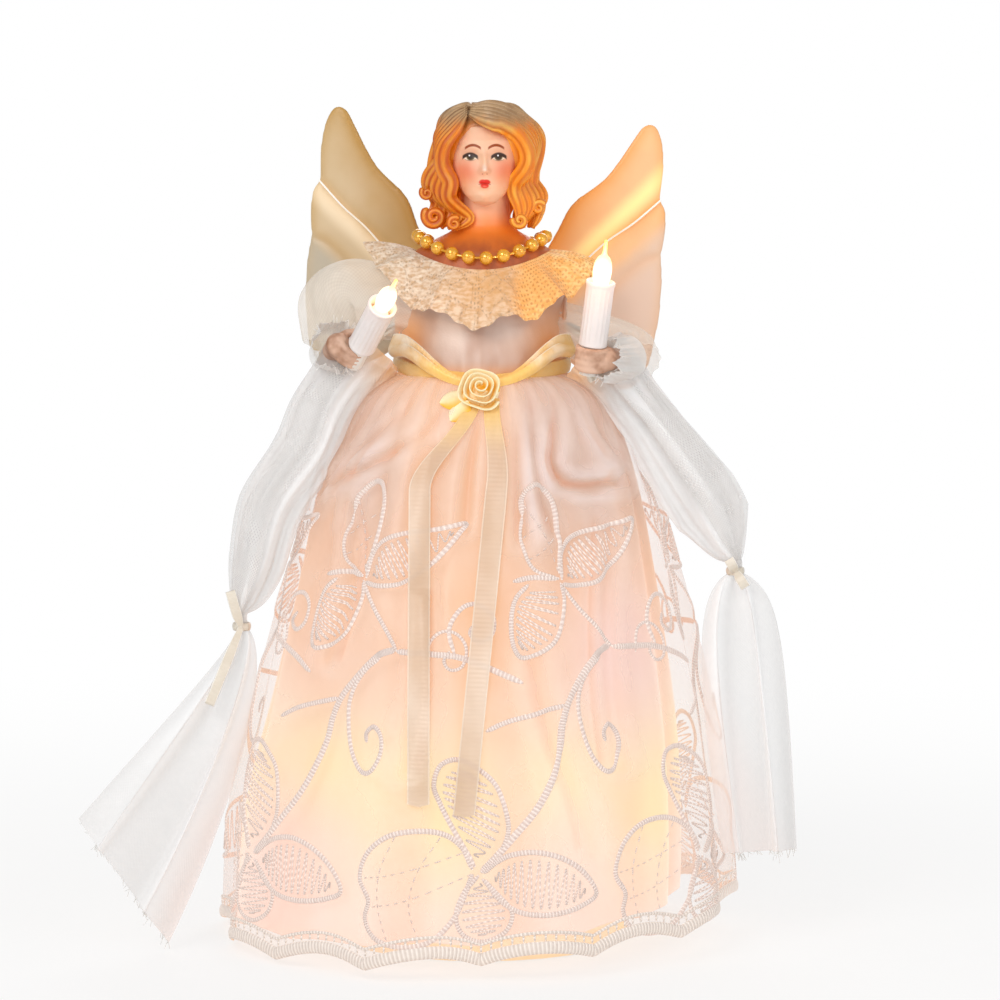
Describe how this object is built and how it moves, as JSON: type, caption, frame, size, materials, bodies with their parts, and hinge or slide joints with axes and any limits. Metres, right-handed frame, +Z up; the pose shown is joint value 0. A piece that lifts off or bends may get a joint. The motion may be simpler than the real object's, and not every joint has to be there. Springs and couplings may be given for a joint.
{
  "type": "angel tree topper",
  "caption": "Lighted angel tree topper: bisque half doll with candles and padded wings, in a laced, embroidered and gathered gown over a translucent cone.",
  "frame": {"origin": "on the body cone's axis, at the plane of its foot rim, where the tree's leader enters", "axes": "+Z up along the cone to the head, the figure faces -Y, +X to the viewer's right"},
  "size_m": [0.2152, 0.1547, 0.254],
  "materials": {
    "frosted_plastic": "frosted, translucent",
    "white_plastic": "satin",
    "wire_sleeve": "matte insulation",
    "block_wood": "bare",
    "steel_wire": "drawn",
    "bisque": "matte, hand painted",
    "satin": "satin sheen",
    "glowing_satin": "satin, lit from behind",
    "wing_satin": "satin, padded and seamed",
    "organza": "sheer, thread embroidery",
    "lace": "netted",
    "ribbon": "satin sheen",
    "gold_beads": "pearly",
    "lamp_glass": "clear"
  },
  "bodies": {
    "stand": {"body_cone": "frosted_plastic", "light_string": "wire_sleeve", "shoulder_block": "block_wood", "head_and_shoulders": "bisque", "bodice": "satin", "underskirt": "glowing_satin", "overskirt": "organza", "lace_collar": "lace", "pearl_necklace": "gold_beads", "waist_sash": "ribbon", "sash_bow": "ribbon", "ribbon_rose": "ribbon", "left_ribbon_tail": "ribbon", "right_ribbon_tail": "ribbon", "wing_bracket": "white_plastic", "lamp_socket_1": "white_plastic", "lamp_socket_2": "white_plastic", "lamp_socket_3": "white_plastic", "lamp_socket_4": "white_plastic", "lamp_socket_5": "white_plastic", "lamp_socket_6": "white_plastic", "lamp_socket_7": "white_plastic", "lamp_socket_8": "white_plastic"},
    "left_wing_panel": {"left_wing": "wing_satin"},
    "right_wing_panel": {"right_wing": "wing_satin"},
    "left_arm": {"left_candle_sleeve": "white_plastic", "left_candle_socket": "white_plastic", "left_hand": "bisque", "left_arm_wire": "steel_wire", "left_candle_lead": "wire_sleeve", "left_sleeve": "organza", "left_cuff": "organza", "left_drape": "organza", "left_streamer": "organza", "left_tie": "ribbon"},
    "right_arm": {"right_candle_sleeve": "white_plastic", "right_candle_socket": "white_plastic", "right_hand": "bisque", "right_arm_wire": "steel_wire", "right_candle_lead": "wire_sleeve", "right_sleeve": "organza", "right_cuff": "organza", "right_drape": "organza", "right_streamer": "organza", "right_tie": "ribbon"},
    "left_candle_lamp": {"left_candle_bulb": "lamp_glass"},
    "right_candle_lamp": {"right_candle_bulb": "lamp_glass"},
    "skirt_lamp_1": {"lamp_bulb_1": "lamp_glass"},
    "skirt_lamp_2": {"lamp_bulb_2": "lamp_glass"},
    "skirt_lamp_3": {"lamp_bulb_3": "lamp_glass"},
    "skirt_lamp_4": {"lamp_bulb_4": "lamp_glass"},
    "skirt_lamp_5": {"lamp_bulb_5": "lamp_glass"},
    "skirt_lamp_6": {"lamp_bulb_6": "lamp_glass"},
    "skirt_lamp_7": {"lamp_bulb_7": "lamp_glass"},
    "skirt_lamp_8": {"lamp_bulb_8": "lamp_glass"}
  },
  "joints": [
    {"name": "left_wing_fold", "type": "hinge", "parent": "stand", "child": "left_wing_panel", "pos_m": [-0.009, 0.0238, 0.1905], "axis": [0, 0, -1], "range_deg": [0, 45]},
    {"name": "right_wing_fold", "type": "hinge", "parent": "stand", "child": "right_wing_panel", "pos_m": [0.009, 0.0238, 0.1905], "axis": [0, 0, 1], "range_deg": [0, 45]},
    {"name": "left_arm_swing", "type": "hinge", "parent": "stand", "child": "left_arm", "pos_m": [-0.0076, 0, 0.187], "axis": [0, 0, -1], "range_deg": [-5, 15]},
    {"name": "right_arm_swing", "type": "hinge", "parent": "stand", "child": "right_arm", "pos_m": [0.0076, 0, 0.187], "axis": [0, 0, 1], "range_deg": [-5, 15]},
    {"name": "left_candle_lamp_pull", "type": "slide", "parent": "left_arm", "child": "left_candle_lamp", "axis": [0.3352, -0.7002, 0.6304], "range_m": [0, 0.006]},
    {"name": "right_candle_lamp_pull", "type": "slide", "parent": "right_arm", "child": "right_candle_lamp", "axis": [0.1192, -0.2064, 0.9712], "range_m": [0, 0.006]},
    {"name": "skirt_lamp_1_pull", "type": "slide", "parent": "stand", "child": "skirt_lamp_1", "axis": [-0.2213, -0.9587, 0.1789], "range_m": [0, 0.0056]},
    {"name": "skirt_lamp_2_pull", "type": "slide", "parent": "stand", "child": "skirt_lamp_2", "axis": [0.8433, -0.5067, 0.1789], "range_m": [0, 0.0056]},
    {"name": "skirt_lamp_3_pull", "type": "slide", "parent": "stand", "child": "skirt_lamp_3", "axis": [0.7425, 0.6455, 0.1789], "range_m": [0, 0.0056]},
    {"name": "skirt_lamp_4_pull", "type": "slide", "parent": "stand", "child": "skirt_lamp_4", "axis": [-0.3844, 0.9057, 0.1789], "range_m": [0, 0.0056]},
    {"name": "skirt_lamp_5_pull", "type": "slide", "parent": "stand", "child": "skirt_lamp_5", "axis": [-0.9801, -0.0858, 0.1789], "range_m": [0, 0.0056]},
    {"name": "skirt_lamp_6_pull", "type": "slide", "parent": "stand", "child": "skirt_lamp_6", "axis": [0.0858, -0.9801, 0.1789], "range_m": [0, 0.0056]},
    {"name": "skirt_lamp_7_pull", "type": "slide", "parent": "stand", "child": "skirt_lamp_7", "axis": [0.8059, 0.5643, 0.1789], "range_m": [0, 0.0056]},
    {"name": "skirt_lamp_8_pull", "type": "slide", "parent": "stand", "child": "skirt_lamp_8", "axis": [-0.8917, 0.4158, 0.1789], "range_m": [0, 0.0056]}
  ]
}
